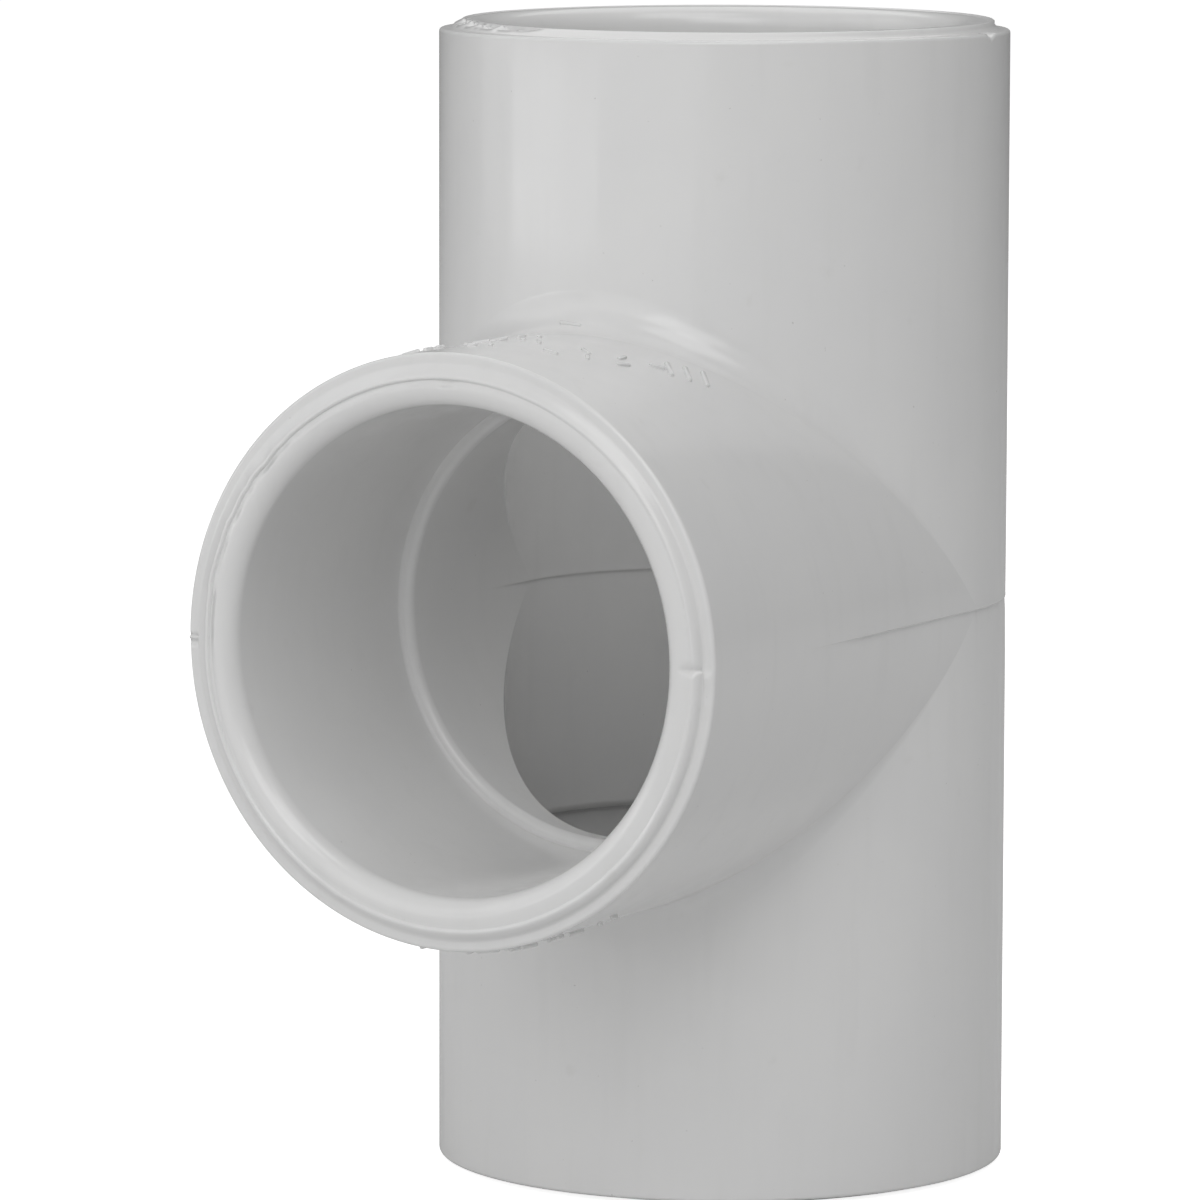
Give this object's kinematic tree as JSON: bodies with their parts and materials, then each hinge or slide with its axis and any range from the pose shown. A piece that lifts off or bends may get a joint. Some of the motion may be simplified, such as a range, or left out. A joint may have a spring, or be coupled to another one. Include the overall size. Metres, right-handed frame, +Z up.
{
  "type": "pvc tee fitting",
  "caption": "White PVC slip tee: an upright run and a square branch, each mouth a tapered pipe socket with a stepped rim and an inner pipe stop.",
  "frame": {"origin": "middle of the base of the bounding box, so the lower run lip stands on z = 0; the run's axis is the line x = 0, y = 12.95 mm, and it meets the branch's axis at z = 51.78 mm", "axes": "+Z up along the run, -Y out along the branch, +X to the right when facing into the branch mouth"},
  "size_m": [0.0516, 0.0776, 0.1042],
  "materials": {
    "pvc": "semi-gloss injection-moulded rigid PVC"
  },
  "bodies": {
    "root": {"tee_centre": "pvc", "upper_run_socket": "pvc", "lower_run_socket": "pvc", "branch_socket": "pvc"}
  },
  "joints": []
}
